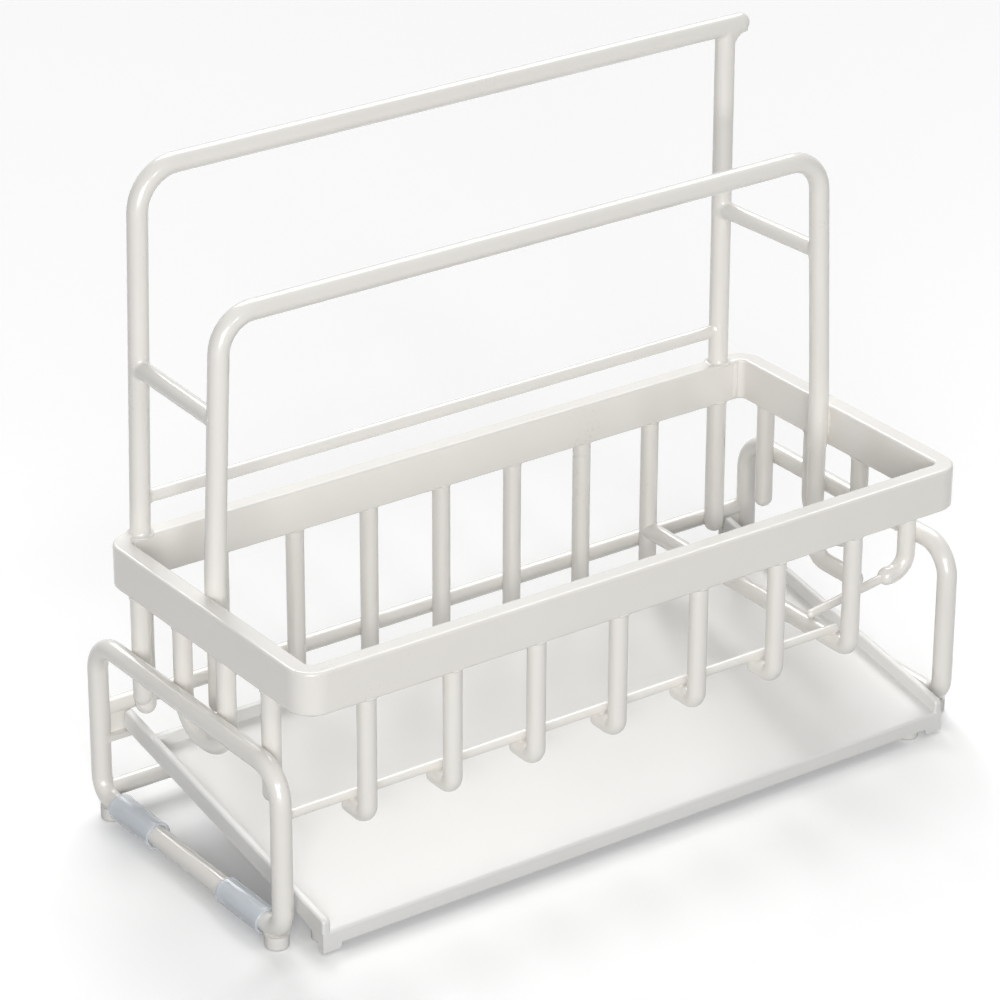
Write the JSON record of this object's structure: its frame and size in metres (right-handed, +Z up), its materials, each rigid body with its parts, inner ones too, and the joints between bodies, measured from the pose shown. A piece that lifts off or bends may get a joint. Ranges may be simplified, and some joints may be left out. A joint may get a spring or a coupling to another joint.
{
  "type": "kitchen sink caddy",
  "caption": "Welded steel-wire sink caddy: open basket under a flat rim band, tall towel hoops, stand loops with clear sleeves, and a sloping drip tray that pulls out to the front.",
  "frame": {"origin": "bottom centre of the whole object, on the counter", "axes": "+X along the basket to the right, -Y to the front, where the tray pulls out, +Z up"},
  "size_m": [0.2224, 0.0986, 0.1807],
  "materials": {
    "powder_coat": "warm white satin powder coat on steel",
    "tray_plastic": "warm white satin moulded plastic",
    "pad_plastic": "matt off-white soft plastic",
    "foot_plastic": "matt off-white moulded plastic",
    "clear_sleeve": "clear soft plastic tube with a faint blue cast"
  },
  "bodies": {
    "stand": {"end_loop_left": "powder_coat", "end_loop_right": "powder_coat", "end_wire_front_left": "powder_coat", "end_wire_front_right": "powder_coat", "end_wire_rear_left": "powder_coat", "end_wire_rear_right": "powder_coat", "foot_front_left": "foot_plastic", "foot_front_right": "foot_plastic", "foot_rear_left": "foot_plastic", "foot_rear_right": "foot_plastic", "front_hoop": "powder_coat", "front_tie_wire": "powder_coat", "front_wire_1": "powder_coat", "front_wire_2": "powder_coat", "front_wire_3": "powder_coat", "front_wire_4": "powder_coat", "front_wire_5": "powder_coat", "front_wire_6": "powder_coat", "front_wire_7": "powder_coat", "hoop_brace_left": "powder_coat", "hoop_brace_right": "powder_coat", "hoop_tail_left": "powder_coat", "hoop_tail_right": "powder_coat", "rear_base_bar": "powder_coat", "rear_crossbar": "powder_coat", "rear_hoop": "powder_coat", "rear_hoop_right_leg": "powder_coat", "rear_post_left": "powder_coat", "rear_post_right": "powder_coat", "rear_rail": "powder_coat", "rear_wire_1": "powder_coat", "rear_wire_2": "powder_coat", "rear_wire_3": "powder_coat", "rear_wire_4": "powder_coat", "rear_wire_5": "powder_coat", "rear_wire_6": "powder_coat", "rear_wire_7": "powder_coat", "rim_band": "powder_coat", "side_tie_wire": "powder_coat", "sleeve_front_left": "clear_sleeve", "sleeve_front_right": "clear_sleeve", "sleeve_rear_left": "clear_sleeve", "sleeve_rear_right": "clear_sleeve", "stand_loop_left": "powder_coat", "stand_loop_right": "powder_coat", "tray_hook_left": "powder_coat", "tray_hook_right": "powder_coat"},
    "tray": {"drip_tray": "tray_plastic", "tray_pads": "pad_plastic"}
  },
  "joints": [
    {"name": "tray_slide", "type": "slide", "parent": "stand", "child": "tray", "axis": [0, -1, 0], "range_m": [0, 0.105]}
  ]
}
